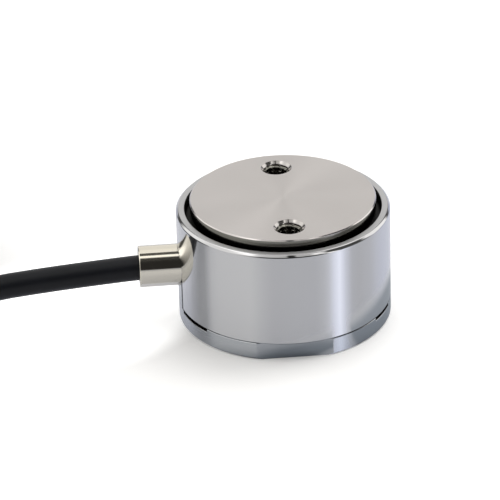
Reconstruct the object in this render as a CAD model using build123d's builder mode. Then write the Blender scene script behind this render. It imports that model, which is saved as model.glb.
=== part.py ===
# Button load cell: a round stainless housing over a gauged spring element, with a proud
# load plate, a side gland and a thin cable whose far end is bare.
# Millimetres, +Z up, origin at the centre of the base's underside. The two load holes lie
# along Y, the base's flats face +Y and -Y, and the cable leaves along -X.
import os
from math import asin, atan2, cos, hypot, pi, radians, sin, sqrt, tan

from build123d import *

# Housing sleeve
housing_dia = 25.0
housing_wall = 1.0
rim_height = 13.7
rim_chamfer = 0.3
foot_chamfer = 0.15

# Base plate, its thickness a share of the rim's height
base_share = 0.3066
flange_thick = 2.1
flange_chamfer = 0.2
flat_depth = 0.8

# Slits in the flange under the sleeve's foot, in degrees from the middle of each flat, and
# the key beside them that fills the sleeve's slot below the gland
slit_height = 0.35
slit_depth = 0.4
slit_from = 52
slit_to = 70
slit_to_key = 77
key_share = 0.86

# Load plate, its thickness a share of the rim's height
plate_share = 0.3212
plate_proud = 1.1
plate_gap = 0.65
plate_chamfer = 0.12
plate_boss_height = 0.8

# Spring element: ring and hub as shares of the housing, beams as shares of their room
ring_share = 0.136
hub_share = 0.32
hub_proud = 0.2
beam_width_share = 0.75
beam_thick_share = 0.34
beam_lift_share = 0.27
beam_root_fillet = 0.5
relief_length_share = 0.8
relief_depth_share = 0.25
overload_gap = 0.15

# Tapped mounting holes, the same on the load plate and under the base
hole_edge_margin = 3.35
thread_dia = 3.0
tap_drill_dia = 2.5
thread_run_out = 0.3
hole_floor = 0.15
mouth_chamfer = 0.33
drill_point_angle = 118

# Screw from the hub up into the load plate
hub_wall = 1.1
hub_web = 2.0
plate_screw_share = 0.545
plate_screw_socket_share = 0.455
plate_screw_bite_share = 0.58
plate_screw_sink = 0.25

# Countersunk screws from the base up into the spring element's ring
base_screw_count = 4
base_screw_share = 0.59
base_screw_inset = 0.2
base_screw_head_share = 1.9
base_screw_socket_share = 0.65
base_screw_bite = 1.8
head_sunk = 0.1

# Gland and cable
gland_dia = 4.9
gland_proud = 4.6
gland_spigot_dia = 4.0
gland_edge = 0.15
gland_slot_gap = 0.2
gland_bore_gap = 0.15
cable_dia = 3.0
ferrule_dia = 3.8
ferrule_length = 0.7

# Seals
seal_groove_depth = 0.6
groove_seal_height = 0.9
groove_seal_drop = 1.1
base_seal_section = 0.58
base_seal_groove = 0.8

# Gauges, terminal board and what is on it
gauge_share = 0.6
gauge_grid_share = 0.65
gauge_thick = 0.12
board_ring_gap = 0.2
board_hub_gap = 0.9
board_thick = 0.8
board_notch_width = 4.4
solder_dia = 0.8
solder_height = 0.3
solder_taper = 30
resistor_share = 0.55
resistor_width = 0.8
resistor_height = 0.45
resistor_spread = 28
gauge_lead_dia = 0.16
gauge_lead_share = 0.35
gauge_lead_spread = 0.5
gauge_lead_lean = 0.2
core_dia = 0.45
core_spread = 0.9

# Where the jacket ends and the conductors go, as shares of the board's width: out from
# its inner edge, and across
jacket_end_share = 0.655
red_pad_share = (0.276, 0.224)
green_pad_share = (0.414, 0.655)
green_bend_share = 0.138

# Wound cable and its bare end
coil_centre = (-58.5, 12.0)
coil_mid_dia = 36.0
coil_turns_wide = 3
coil_turns_high = 4
coil_slack = 0.1
tail_turn_from = -0.25
tail_turn_to = 0.4
tail_rise = 12.0
tail_steps = 8
tail_drift = 6.0
tail_straight = 10.0
tail_lift = 0.8
sleeve_dia = 3.6
sleeve_length = 8.0
sleeve_on_jacket = 4.0
lead_dia = 0.7
lead_pitch = 0.9
lead_reach = 24.0
lead_fan_r = 15.9
lead_fan_pitch = 1.05
lead_fan_lift = 1.0
lead_sleeve_gap = 1.0
drain_dia = 0.4
tip_dia = 0.4
tip_length = 3.0

# Clearances, and how much of a run a bend may take
fit_gap = 0.05
screw_gap = 0.02
hole_gap = 0.15
bend_share = 0.45

# Levels and radii that follow
shell_r = housing_dia / 2
bore_r = shell_r - housing_wall
neck_r = shell_r - slit_depth
spigot_r = bore_r - fit_gap
flat_distance = shell_r - flat_depth
deck = base_share * rim_height
plate_r = bore_r - plate_gap
plate_top = rim_height + plate_proud
plate_thick = plate_share * rim_height
plate_under = plate_top - plate_thick
hole_spacing = 2 * (plate_r - hole_edge_margin)
thread_r = thread_dia / 2

hub_top = plate_under - plate_boss_height
hub_r = hub_share * housing_dia / 2
hub_under = deck + overload_gap
ring_r = bore_r - 2 * fit_gap
ring_width = ring_share * housing_dia
ring_bore_r = ring_r - ring_width
ring_height = hub_top - hub_proud - deck
beam_length = ring_bore_r - hub_r
beam_width = beam_width_share * beam_length
beam_thick = beam_thick_share * ring_height
beam_under = deck + beam_lift_share * ring_height
beam_top = beam_under + beam_thick
beam_mid = (hub_r + ring_bore_r) / 2
beam_angles = [45 + 90 * number for number in range(4)]
relief_r = relief_length_share * beam_length / 2

screw_seat = hub_top - hub_web
plate_screw_head_r = hub_r - hub_wall - hole_gap
plate_screw_head_height = screw_seat - hub_under - plate_screw_sink
plate_screw_r = plate_screw_share * plate_screw_head_r
plate_screw_socket = plate_screw_socket_share * 2 * plate_screw_head_r
plate_screw_bite = plate_screw_bite_share * (plate_thick + plate_boss_height)
base_screw_circle = ring_r + ring_bore_r - 2 * base_screw_inset
base_screw_r = base_screw_share * ring_width / 2
base_screw_head_r = base_screw_head_share * base_screw_r
base_screw_length = deck + base_screw_bite

plate_seal_r = plate_r - seal_groove_depth
plate_seal_top = rim_height - groove_seal_drop
plate_seal_under = plate_seal_top - groove_seal_height
base_seal_r = spigot_r - base_seal_section - fit_gap / 2
base_seal_low = (flange_thick + deck - base_seal_groove) / 2

gland_height = deck + ring_height / 2
gland_r = gland_dia / 2
gland_seat = sqrt(ring_r**2 - gland_r**2)
gland_slot_r = gland_r + gland_slot_gap
gland_end = shell_r + gland_proud
gland_spigot_r = gland_spigot_dia / 2
gland_bore_r = cable_dia / 2 + gland_bore_gap
cable_r = cable_dia / 2

board_top = deck + board_thick
board_outer_r = ring_bore_r - board_ring_gap
board_inner_r = hub_r + board_hub_gap
board_width = board_outer_r - board_inner_r
gauge_length = gauge_share * beam_length
gauge_width = gauge_share * beam_width
jacket_end = board_inner_r + jacket_end_share * board_width
gland_face = Plane(origin=(-ring_bore_r, 0, gland_height), x_dir=(0, 1, 0), z_dir=(-1, 0, 0))
pieces = {}


def tapped_hole(thickness):
    """A countersunk blind thread in a plate that thick, at each current location."""
    point_height = tap_drill_dia / 2 / tan(radians(drill_point_angle / 2))
    drill_depth = thickness - hole_floor - point_height
    thread_depth = drill_depth - thread_run_out
    CounterSinkHole(
        radius=thread_r, counter_sink_radius=thread_r + mouth_chamfer, depth=thread_depth
    )
    Hole(radius=tap_drill_dia / 2, depth=drill_depth)
    with Locations((0, 0, -drill_depth)):
        Cone(
            0, tap_drill_dia / 2, point_height,
            align=(Align.CENTER, Align.CENTER, Align.MAX), mode=Mode.SUBTRACT,
        )


def ray(angle):
    """A point well outside the housing, in that direction from the axis."""
    return (housing_dia * cos(radians(angle)), housing_dia * sin(radians(angle)))


def upward(height):
    """A location at that height on the axis, whose holes are drilled upwards."""
    return Location((0, 0, height), (180, 0, 0))


def easy_bends(points):
    """The radius at each corner of a route, as large as its two runs allow."""
    corners = [Vector(*point) for point in points]
    radii = []
    for before, corner, after in zip(corners, corners[1:], corners[2:]):
        turn = radians((corner - before).get_angle(after - corner))
        shorter = min((corner - before).length, (after - corner).length)
        radii.append(bend_share * shorter / tan(turn / 2))
    return radii


def round_wire(points, dia):
    """A round wire along straight runs joined by tangent arcs."""
    with BuildPart() as wire:
        with BuildLine() as route:
            FilletPolyline(*points, radius=easy_bends(points))
        with BuildSketch(Plane(origin=route.line @ 0, z_dir=route.line % 0)):
            Circle(dia / 2)
        sweep()
    return wire


def kinked_wire(points, dia):
    """A short stiff wire bent sharply at its corners."""
    with BuildPart() as wire:
        with BuildLine() as route:
            Polyline(*points)
        with BuildSketch(Plane(origin=route.line @ 0, z_dir=route.line % 0)):
            Circle(dia / 2)
        sweep(transition=Transition.RIGHT)
    return wire


# Housing sleeve: a turned tube, slotted from below on one side for the gland
with BuildPart() as housing_shell:
    with BuildSketch(Plane.XZ):
        with BuildLine():
            Polyline(
                (bore_r, flange_thick),
                (shell_r - foot_chamfer, flange_thick),
                (shell_r, flange_thick + foot_chamfer),
                (shell_r, rim_height - rim_chamfer),
                (shell_r - rim_chamfer, rim_height),
                (bore_r, rim_height),
                close=True,
            )
        make_face()
    revolve(axis=Axis.Z)
    with BuildSketch(gland_face):
        Circle(gland_slot_r)
        with Locations((0, gland_height / 2)):
            Rectangle(2 * gland_slot_r, gland_height)
    extrude(amount=shell_r, mode=Mode.SUBTRACT)
pieces["housing_shell"] = housing_shell

# Base plate: flange with two flats and four slits, a spigot that centres the sleeve, and
# the key in the sleeve's slot
with BuildPart() as base_plate:
    with BuildSketch(Plane.XZ):
        with BuildLine():
            Polyline(
                (0, 0),
                (shell_r - flange_chamfer, 0),
                (shell_r, flange_chamfer),
                (shell_r, flange_thick - foot_chamfer),
                (shell_r - foot_chamfer, flange_thick),
                (spigot_r, flange_thick),
                (spigot_r, base_seal_low),
                (base_seal_r, base_seal_low),
                (base_seal_r, base_seal_low + base_seal_groove),
                (spigot_r, base_seal_low + base_seal_groove),
                (spigot_r, deck),
                (0, deck),
                close=True,
            )
        make_face()
    revolve(axis=Axis.Z)
    with BuildSketch():
        with Locations((0, flat_distance + shell_r), (0, -flat_distance - shell_r)):
            Rectangle(housing_dia, housing_dia)
    extrude(amount=flange_thick, mode=Mode.SUBTRACT)
    with BuildSketch(Plane.XY.offset(flange_thick - slit_height)):
        for start, end in (
            (-90 + slit_from, -90 + slit_to),
            (-90 - slit_to_key, -90 - slit_from),
            (90 - slit_to, 90 - slit_from),
            (90 + slit_from, 90 + slit_to_key),
        ):
            with BuildLine():
                Polyline((0, 0), ray(start), ray(end), close=True)
            make_face()
        Circle(neck_r, mode=Mode.SUBTRACT)
    extrude(amount=slit_height, mode=Mode.SUBTRACT)
    with BuildSketch(Plane.XY.offset(flange_thick - slit_height)):
        Circle(shell_r)
        Circle(bore_r, mode=Mode.SUBTRACT)
        with Locations((-shell_r, 0)):
            Rectangle(housing_dia, key_share * gland_dia, mode=Mode.INTERSECT)
    extrude(amount=gland_height - flange_thick + slit_height)
    with BuildSketch(gland_face):
        Circle(gland_r + fit_gap)
    extrude(amount=shell_r, mode=Mode.SUBTRACT)
    with Locations(upward(0)):
        with PolarLocations(base_screw_circle / 2, base_screw_count, start_angle=45):
            CounterSinkHole(
                radius=base_screw_r + hole_gap,
                counter_sink_radius=base_screw_head_r + head_sunk,
                depth=2 * deck,
            )
        with PolarLocations(hole_spacing / 2, 2, start_angle=90):
            tapped_hole(deck)
pieces["base_plate"] = base_plate

# Spring element: ring, hub and four beams that bend under load, relieved below the gauges
with BuildPart() as flexure:
    with BuildSketch(Plane.XY.offset(deck)):
        Circle(ring_r)
        Circle(ring_bore_r, mode=Mode.SUBTRACT)
    extrude(amount=ring_height)
    with BuildSketch(Plane.XY.offset(hub_under)):
        Circle(hub_r)
    extrude(amount=hub_top - hub_under)
    with BuildSketch(Plane.XY.offset(beam_under)):
        with PolarLocations(beam_mid, len(beam_angles), start_angle=beam_angles[0]):
            Rectangle(beam_length + 2 * beam_root_fillet, beam_width)
    extrude(amount=beam_thick)
    beam_roots = flexure.edges().filter_by(Axis.Z).filter_by(
        lambda edge: abs(edge.length - beam_thick) < screw_gap
    )
    fillet(beam_roots, radius=beam_root_fillet)
    with PolarLocations(beam_mid, len(beam_angles), start_angle=beam_angles[0]):
        with Locations((0, 0, beam_under + relief_depth_share * beam_thick - relief_r)):
            Cylinder(
                relief_r, beam_width + 2 * beam_root_fillet,
                rotation=(90, 0, 0), mode=Mode.SUBTRACT,
            )
    with Locations(upward(hub_under)):
        CounterBoreHole(
            radius=plate_screw_r + hole_gap,
            counter_bore_radius=plate_screw_head_r + hole_gap,
            counter_bore_depth=screw_seat - hub_under,
            depth=hub_top,
        )
    with Locations(upward(deck)):
        with PolarLocations(base_screw_circle / 2, base_screw_count, start_angle=45):
            Hole(radius=base_screw_r, depth=base_screw_bite + base_screw_r)
    with BuildSketch(Plane(origin=(-hub_r, 0, gland_height), z_dir=(-1, 0, 0))):
        Circle(gland_spigot_r + fit_gap)
    extrude(amount=shell_r, mode=Mode.SUBTRACT)
    with BuildSketch(Plane(origin=(-gland_seat, 0, gland_height), z_dir=(-1, 0, 0))):
        Rectangle(housing_dia, housing_dia)
    extrude(amount=housing_wall, mode=Mode.SUBTRACT)
pieces["flexure"] = flexure

# Load plate: a turned disc on a low boss, with a seal groove in its edge
with BuildPart() as load_plate:
    with BuildSketch(Plane.XZ):
        with BuildLine():
            Polyline(
                (0, hub_top),
                (hub_r, hub_top),
                (hub_r, plate_under),
                (plate_r - plate_chamfer, plate_under),
                (plate_r, plate_under + plate_chamfer),
                (plate_r, plate_seal_under),
                (plate_seal_r, plate_seal_under),
                (plate_seal_r, plate_seal_top),
                (plate_r, plate_seal_top),
                (plate_r, plate_top - plate_chamfer),
                (plate_r - plate_chamfer, plate_top),
                (0, plate_top),
                close=True,
            )
        make_face()
    revolve(axis=Axis.Z)
    with Locations((0, 0, plate_top)):
        with PolarLocations(hole_spacing / 2, 2, start_angle=90):
            tapped_hole(plate_thick)
    with Locations(upward(hub_top)):
        Hole(radius=plate_screw_r, depth=plate_screw_bite + plate_screw_r / 2)
pieces["load_plate"] = load_plate

# Cap screw that pulls the load plate down on the hub, its head below
with BuildPart() as load_plate_screw:
    with BuildSketch(Plane.XY.offset(screw_seat - plate_screw_head_height)):
        Circle(plate_screw_head_r)
        RegularPolygon(plate_screw_socket / 2, 6, major_radius=False, mode=Mode.SUBTRACT)
    extrude(amount=plate_screw_head_height / 2)
    with BuildSketch(Plane.XY.offset(screw_seat - plate_screw_head_height / 2)):
        Circle(plate_screw_head_r)
    extrude(amount=plate_screw_head_height / 2)
    with BuildSketch(Plane.XY.offset(screw_seat)):
        Circle(plate_screw_r - screw_gap)
    extrude(amount=hub_web + plate_screw_bite)
    chamfer(load_plate_screw.faces().sort_by(Axis.Z)[-1].edges(), length=plate_screw_r / 5)
pieces["load_plate_screw"] = load_plate_screw

# Countersunk screws, heads just under the base's face
with BuildPart() as base_screw:
    circle_r = base_screw_circle / 2
    shank_r = base_screw_r - screw_gap
    with BuildSketch(Plane.XZ):
        with BuildLine():
            Polyline(
                (circle_r, head_sunk),
                (circle_r + base_screw_head_r - head_sunk, head_sunk),
                (circle_r + shank_r, base_screw_head_r - shank_r),
                (circle_r + shank_r, base_screw_length),
                (circle_r, base_screw_length),
                close=True,
            )
        make_face()
    revolve(axis=Axis((circle_r, 0, 0), (0, 0, 1)))
    with BuildSketch(Plane.XY.offset(head_sunk)):
        with Locations((circle_r, 0)):
            RegularPolygon(base_screw_socket_share * base_screw_r, 6, major_radius=False)
    extrude(amount=base_screw_r, mode=Mode.SUBTRACT)
with BuildPart() as base_screws:
    for angle in beam_angles:
        add(base_screw.part.rotate(Axis.Z, angle))
pieces["base_screws"] = base_screws

# Foil gauges, one on top of each beam
for number, angle in enumerate(beam_angles, start=1):
    beam = Plane.XY.offset(beam_top).rotated((0, 0, angle))
    with BuildPart() as strain_gauge:
        with BuildSketch(beam):
            with Locations((beam_mid, 0)):
                RectangleRounded(gauge_length, gauge_width, gauge_width / 8)
        extrude(amount=gauge_thick / 2)
        with BuildSketch(beam.offset(gauge_thick / 2)):
            with Locations((beam_mid, 0)):
                Rectangle(gauge_grid_share * gauge_length, gauge_grid_share * gauge_width)
        extrude(amount=gauge_thick / 2)
    pieces[f"strain_gauge_{number}"] = strain_gauge

# Terminal board: a ring on the base, notched where the cable's jacket ends
with BuildPart() as terminal_board:
    with BuildSketch(Plane.XY.offset(deck)):
        Circle(board_outer_r)
        Circle(board_inner_r, mode=Mode.SUBTRACT)
        with Locations((-board_outer_r, 0)):
            Rectangle(2 * (board_outer_r - jacket_end + hole_gap), board_notch_width,
                      mode=Mode.SUBTRACT)
    extrude(amount=board_thick)
pieces["terminal_board"] = terminal_board

# Trimming resistors, side by side on the board opposite the cable
with BuildPart() as trim_resistors:
    with BuildSketch(Plane.XY.offset(board_top)):
        with PolarLocations((board_inner_r + board_outer_r) / 2, 3,
                            start_angle=-resistor_spread / 2, angular_range=resistor_spread,
                            endpoint=True):
            Rectangle(resistor_share * board_width, resistor_width)
    extrude(amount=resistor_height)
pieces["trim_resistors"] = trim_resistors


def on_board(share, height):
    """A point at these shares of the board's width, on the side where the cable comes in."""
    return (-board_inner_r - share[0] * board_width, share[1] * board_width, height)


# The cable's four conductors: down from the jacket's end to their pads on the board, and
# the upper two by way of a loop inwards
core_offset = core_spread * core_dia
core_low = gland_height - core_offset
core_high = gland_height + core_offset
core_end = board_top + solder_height + fit_gap
red_x, red_y, _ = on_board(red_pad_share, core_end)
loop_x, loop_y, _ = on_board((green_bend_share, green_pad_share[1]), core_end)
core_routes = {
    "wire_red": [
        (-jacket_end, core_offset, core_low),
        (red_x - fit_gap, core_offset, core_low),
        (red_x, red_y, core_end),
    ],
    "wire_green": [
        (-jacket_end, core_offset, core_high),
        (loop_x, core_offset, core_high),
        (loop_x + fit_gap, loop_y - core_dia, core_high - core_dia),
        on_board(green_pad_share, core_end + core_dia),
        on_board(green_pad_share, core_end),
    ],
}
for label, twin in (("wire_red", "wire_black"), ("wire_green", "wire_white")):
    core_routes[twin] = [(x, -y, z) for x, y, z in core_routes[label]]
for label, route in core_routes.items():
    pieces[label] = kinked_wire(route, core_dia)

# Fine wires from each gauge, over the beam's edges and down to the board
fine_r = gauge_lead_dia / 2
gauge_lead_reach = hub_r + gauge_lead_share * beam_length
gauge_lead_across = beam_width / 2 + gauge_lead_spread
with BuildPart() as gauge_leads:
    for angle in beam_angles:
        for side in (1, -1):
            over = [
                (gauge_lead_reach, side * gauge_width / 3, beam_top + gauge_thick + fine_r),
                (gauge_lead_reach, side * gauge_lead_across, beam_top + gauge_lead_dia),
                (gauge_lead_reach + gauge_lead_lean, side * gauge_lead_across, core_end),
            ]
            add(kinked_wire(over, gauge_lead_dia).part.rotate(Axis.Z, angle))
pieces["gauge_leads"] = gauge_leads

# Solder on the board, under each conductor and each gauge wire
with BuildPart() as solder_joints:
    gauge_pads = []
    for angle in beam_angles:
        for side in (1, -1):
            foot = Vector(gauge_lead_reach + gauge_lead_lean, side * gauge_lead_across, 0)
            gauge_pads.append(foot.rotate(Axis.Z, angle))
    core_pads = [route[-1][:2] for route in core_routes.values()]
    with BuildSketch(Plane.XY.offset(board_top)):
        with Locations(*core_pads):
            RegularPolygon(solder_dia / 2, 8)
        with Locations(*gauge_pads):
            RegularPolygon(solder_dia / 3, 8)
    extrude(amount=solder_height, taper=solder_taper)
pieces["solder_joints"] = solder_joints

# Gland: a plain tube through the sleeve's slot, seated on the ring's flat, with a spigot
# through the ring
with BuildPart() as gland_tube:
    with BuildSketch(Plane.XZ):
        with BuildLine():
            Polyline(
                (-ring_bore_r - fit_gap, gland_height + gland_bore_r),
                (-ring_bore_r - fit_gap, gland_height + gland_spigot_r),
                (-gland_seat, gland_height + gland_spigot_r),
                (-gland_seat, gland_height + gland_r),
                (-gland_end + gland_edge, gland_height + gland_r),
                (-gland_end, gland_height + gland_r - gland_edge),
                (-gland_end, gland_height + gland_bore_r + gland_edge),
                (-gland_end + gland_edge, gland_height + gland_bore_r),
                close=True,
            )
        make_face()
    revolve(axis=Axis((0, 0, gland_height), (1, 0, 0)))
pieces["gland_tube"] = gland_tube

# Ferrule crimped on the jacket inside the housing
ferrule_from = jacket_end + fit_gap
with BuildPart() as crimp_ferrule:
    with BuildSketch(Plane(origin=(-ferrule_from, 0, gland_height), z_dir=(-1, 0, 0))):
        Circle(ferrule_dia / 2)
        Circle(cable_r + screw_gap, mode=Mode.SUBTRACT)
    extrude(amount=ferrule_length)
pieces["crimp_ferrule"] = crimp_ferrule

# Ring seals, their lips against the sleeve's bore: in the load plate's groove, and round
# the spigot
for label, inner_r, low, height in (
    ("groove_seal", plate_seal_r, plate_seal_under, groove_seal_height),
    ("base_seal", base_seal_r, base_seal_low, base_seal_groove),
):
    lip = height / 4
    with BuildPart() as ring_seal:
        with BuildSketch(Plane.XZ):
            with BuildLine():
                Polyline(
                    (inner_r + screw_gap, low + screw_gap),
                    (bore_r - screw_gap - lip, low + screw_gap),
                    (bore_r - screw_gap, low + lip),
                    (bore_r - screw_gap, low + height - lip),
                    (bore_r - screw_gap - lip, low + height - screw_gap),
                    (inner_r + screw_gap, low + height - screw_gap),
                    close=True,
                )
            make_face()
        revolve(axis=Axis.Z)
    pieces[label] = ring_seal

# Wound cable: where its turns lie, going clockwise as seen from above
coil_x, coil_y = coil_centre
outer_turn_r = (coil_mid_dia + (coil_turns_wide - 1) * cable_dia) / 2
coil_height = coil_turns_high * cable_dia + coil_slack

# The cable's route: straight out of the gland, drooping, then touching the outer turn
cable_route = [
    (-jacket_end, 0, gland_height),
    (-15.6, 0, gland_height - 0.02),
    (-24.8, -0.1, 6.25),
    (-34.0, -0.7, 5.6),
]
bend_x, bend_y, bend_z = cable_route[-1]
to_centre = hypot(coil_x - bend_x, coil_y - bend_y)
heading = atan2(coil_y - bend_y, coil_x - bend_x) + asin(outer_turn_r / to_centre)
to_coil = sqrt(to_centre**2 - outer_turn_r**2)
drop = (bend_z - cable_r) / to_coil
ring_edge_r = outer_turn_r + cable_r + coil_slack
stub = sqrt(ring_edge_r**2 - (outer_turn_r - cable_r) ** 2) + fit_gap
cable_route.append(
    (
        bend_x + (to_coil - stub) * cos(heading),
        bend_y + (to_coil - stub) * sin(heading),
        bend_z - drop * (to_coil - stub),
    )
)
pieces["cable"] = round_wire(cable_route, cable_dia)
start_angle = heading - pi / 2 + pi


def on_coil(turns, radius, height):
    """A point of the wound cable, that many turns after it first touches the coil."""
    angle = start_angle - 2 * pi * turns
    return (coil_x + radius * cos(angle), coil_y + radius * sin(angle), height)


# The coil's outer shape: a ring of turns, where the cable joins it, and its tail on top
tail_points = []
tail_height = coil_height + cable_r - coil_slack
for step in range(tail_steps + 1):
    turn = tail_turn_from + (tail_turn_to - tail_turn_from) * step / tail_steps
    tail_r = outer_turn_r - tail_drift * max(turn, 0)
    tail_points.append(on_coil(turn, tail_r, tail_height + tail_rise * min(turn, 0)))
tail_turn_end = tail_turn_to + tail_straight / (2 * pi * tail_r)
tail_points.append(on_coil(tail_turn_end, tail_r, tail_height + tail_lift))
with BuildPart() as cable_coil:
    with BuildSketch(Plane(origin=(coil_x, coil_y, 0), x_dir=(1, 0, 0), z_dir=(0, -1, 0))):
        with Locations((coil_mid_dia / 2, coil_height / 2)):
            Rectangle(coil_turns_wide * cable_dia + 2 * coil_slack, coil_height)
        chamfer(vertices(), length=cable_r / 2)
    revolve(axis=Axis((coil_x, coil_y, 0), (0, 0, 1)))
    joint = Vector(*cable_route[-1])
    touch = Vector(*on_coil(0, outer_turn_r, cable_r))
    with BuildSketch(Plane(origin=joint, z_dir=touch - joint)):
        Circle(cable_r)
    extrude(amount=(touch - joint).length)
    with BuildLine() as tail_line:
        FilletPolyline(*tail_points, radius=easy_bends(tail_points))
    with BuildSketch(Plane(origin=tail_line.line @ 0, z_dir=tail_line.line % 0)):
        Circle(cable_r)
    sweep()
pieces["cable_coil"] = cable_coil

# Shrink sleeve over the jacket's end
tail_end = Vector(*tail_points[-1])
tail_out = (tail_end - Vector(*tail_points[-2])).normalized()
with BuildPart() as end_sleeve:
    with BuildSketch(Plane(origin=tail_end - tail_out * sleeve_on_jacket, z_dir=tail_out)):
        Circle(sleeve_dia / 2)
        Circle(cable_r + screw_gap, mode=Mode.SUBTRACT)
    extrude(amount=sleeve_length)
pieces["end_sleeve"] = end_sleeve

# Flying leads and drain: out of the jacket side by side, then fanned out on the coil
tail_in = Vector(0, 0, 1).cross(tail_out).normalized() * -1
tail_up = tail_out.cross(tail_in).normalized() * -1


def lead_route(inward, up, radius, dia):
    """A lead from its place in the jacket's end to its own radius on top of the coil."""
    offset = tail_in * inward + tail_up * up
    straight = sleeve_length - sleeve_on_jacket + lead_sleeve_gap - inward
    points = [tail_end + offset, tail_end + offset + tail_out * straight]
    on_the_way = lead_fan_lift + up
    for reach, share, lift in ((0.5, 0.8, on_the_way), (0.75, 1, 0), (1, 1, 0)):
        turn = tail_turn_end + reach * lead_reach / (2 * pi * lead_fan_r)
        points.append(
            Vector(
                *on_coil(turn, tail_r + share * (radius - tail_r), coil_height + dia / 2 + lift)
            )
        )
    return [tuple(point) for point in points]


lead_ways = {
    "lead_red": (1, 1, -2, lead_dia),
    "lead_black": (1, -1, -1, lead_dia),
    "drain_wire": (0, 0, 0, drain_dia),
    "lead_green": (-1, -1, 1, lead_dia),
    "lead_white": (-1, 1, 2, lead_dia),
}
lead_routes = {}
for label, (inward, up, place, dia) in lead_ways.items():
    fan_r = lead_fan_r + place * lead_fan_pitch
    route = lead_route(inward * lead_pitch / 2, up * lead_pitch / 2, fan_r, dia)
    pieces[label] = round_wire(route, dia)
    lead_routes[label] = route

# Stripped and tinned ends of the four insulated leads
with BuildPart() as lead_tips:
    for label, route in lead_routes.items():
        if label.startswith("lead_"):
            tip_out = Vector(*route[-1]) - Vector(*route[-2])
            with BuildSketch(Plane(origin=route[-1], z_dir=tip_out)):
                Circle(tip_dia / 2)
            extrude(amount=tip_length)
pieces["lead_tips"] = lead_tips

print("cable bend radii", [round(radius, 1) for radius in easy_bends(cable_route)])

os.makedirs("parts", exist_ok=True)
for label, piece in pieces.items():
    piece.part.label = label
    export_step(piece.part, f"parts/{label}.step")
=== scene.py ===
from math import asin, atan2, cos, hypot, pi, radians, sin, sqrt, tan

import bmesh
import bpy
import numpy as np
from mathutils import Matrix


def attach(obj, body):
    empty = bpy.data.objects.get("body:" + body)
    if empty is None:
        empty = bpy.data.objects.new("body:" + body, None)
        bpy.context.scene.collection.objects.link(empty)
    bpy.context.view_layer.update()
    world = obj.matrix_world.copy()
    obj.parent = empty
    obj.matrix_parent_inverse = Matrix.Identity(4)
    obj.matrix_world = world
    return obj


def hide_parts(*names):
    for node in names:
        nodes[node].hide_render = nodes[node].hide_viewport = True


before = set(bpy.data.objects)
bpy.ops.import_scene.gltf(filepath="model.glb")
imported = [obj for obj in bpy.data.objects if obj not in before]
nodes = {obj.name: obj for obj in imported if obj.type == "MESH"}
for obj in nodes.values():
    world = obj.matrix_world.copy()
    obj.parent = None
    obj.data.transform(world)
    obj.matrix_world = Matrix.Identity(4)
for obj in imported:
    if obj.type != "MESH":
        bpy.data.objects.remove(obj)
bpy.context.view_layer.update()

mm = 0.001
nearAxis = 1e-4  # millimetres, the radius of a point on the axis
sharpAngle = 32  # degrees between faces, from which an edge shows
softEdge = 2e-5  # metres over which a finish changes to the next


# Camera, placed so that the housing fills the picture as in the photograph
cameraView = {
    "spot": (-31.238, -338.826, 191.951),  # millimetres
    "azimuth": 4.6,
    "elevation": 28.416,
    "roll": -1.559,
    "lens": 237.6,
    "sensor": 36.0,
}


def addCamera(view):
    data = bpy.data.cameras.new("camera")
    data.lens = view["lens"]
    data.sensor_width = view["sensor"]
    data.clip_start = 0.01
    data.clip_end = 20
    camera = bpy.data.objects.new("camera", data)
    bpy.context.scene.collection.objects.link(camera)
    turn = (
        Matrix.Rotation(-radians(view["azimuth"]), 4, "Z")
        @ Matrix.Rotation(pi / 2 - radians(view["elevation"]), 4, "X")
        @ Matrix.Rotation(radians(view["roll"]), 4, "Z")
    )
    camera.matrix_world = Matrix.Translation([mm * value for value in view["spot"]]) @ turn
    bpy.context.scene.camera = camera


addCamera(cameraView)
bpy.context.scene.view_settings.view_transform = "Standard"
print("camera placed")


# Node helpers
def newMaterial(name):
    material = bpy.data.materials.new(name)
    material.use_nodes = True
    tree = material.node_tree
    return material, tree, tree.nodes["Principled BSDF"]


def addNode(tree, kind, inputs=(), **settings):
    node = tree.nodes.new(kind)
    for key, value in settings.items():
        setattr(node, key, value)
    for key, value in dict(inputs).items():
        if isinstance(value, bpy.types.NodeSocket):
            tree.links.new(value, node.inputs[key])
        else:
            node.inputs[key].default_value = value
    return node


def mathNode(tree, operation, first, second=0.0, third=0.0):
    values = {0: first, 1: second, 2: third}
    return addNode(tree, "ShaderNodeMath", values, operation=operation).outputs[0]


def rampNode(tree, factor, stops):
    ramp = tree.nodes.new("ShaderNodeValToRGB")
    tree.links.new(factor, ramp.inputs[0])
    elements = ramp.color_ramp.elements
    for place, colour in stops[:-1]:
        elements.new(place)
    for element, (place, colour) in zip(elements, stops):
        element.position = place
        element.color = (*colour, 1)
    elements.remove(elements[len(stops)])
    return ramp.outputs[0]


# Mesh helpers: every surface is an array of points on a grid of two parameters
def gridFaces(rows, columns, closedRows=False, closedColumns=False):
    # quad of row i and column j joins (i, j), (i, j+1), (i+1, j+1), (i+1, j)
    i = np.arange(rows if closedRows else rows - 1)[:, None]
    j = np.arange(columns if closedColumns else columns - 1)[None, :]
    iNext, jNext = (i + 1) % rows, (j + 1) % columns
    quads = np.stack(
        np.broadcast_arrays(i * columns + j, i * columns + jNext,
                            iNext * columns + jNext, iNext * columns + j), axis=-1)
    return quads.reshape(-1, 4)


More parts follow.
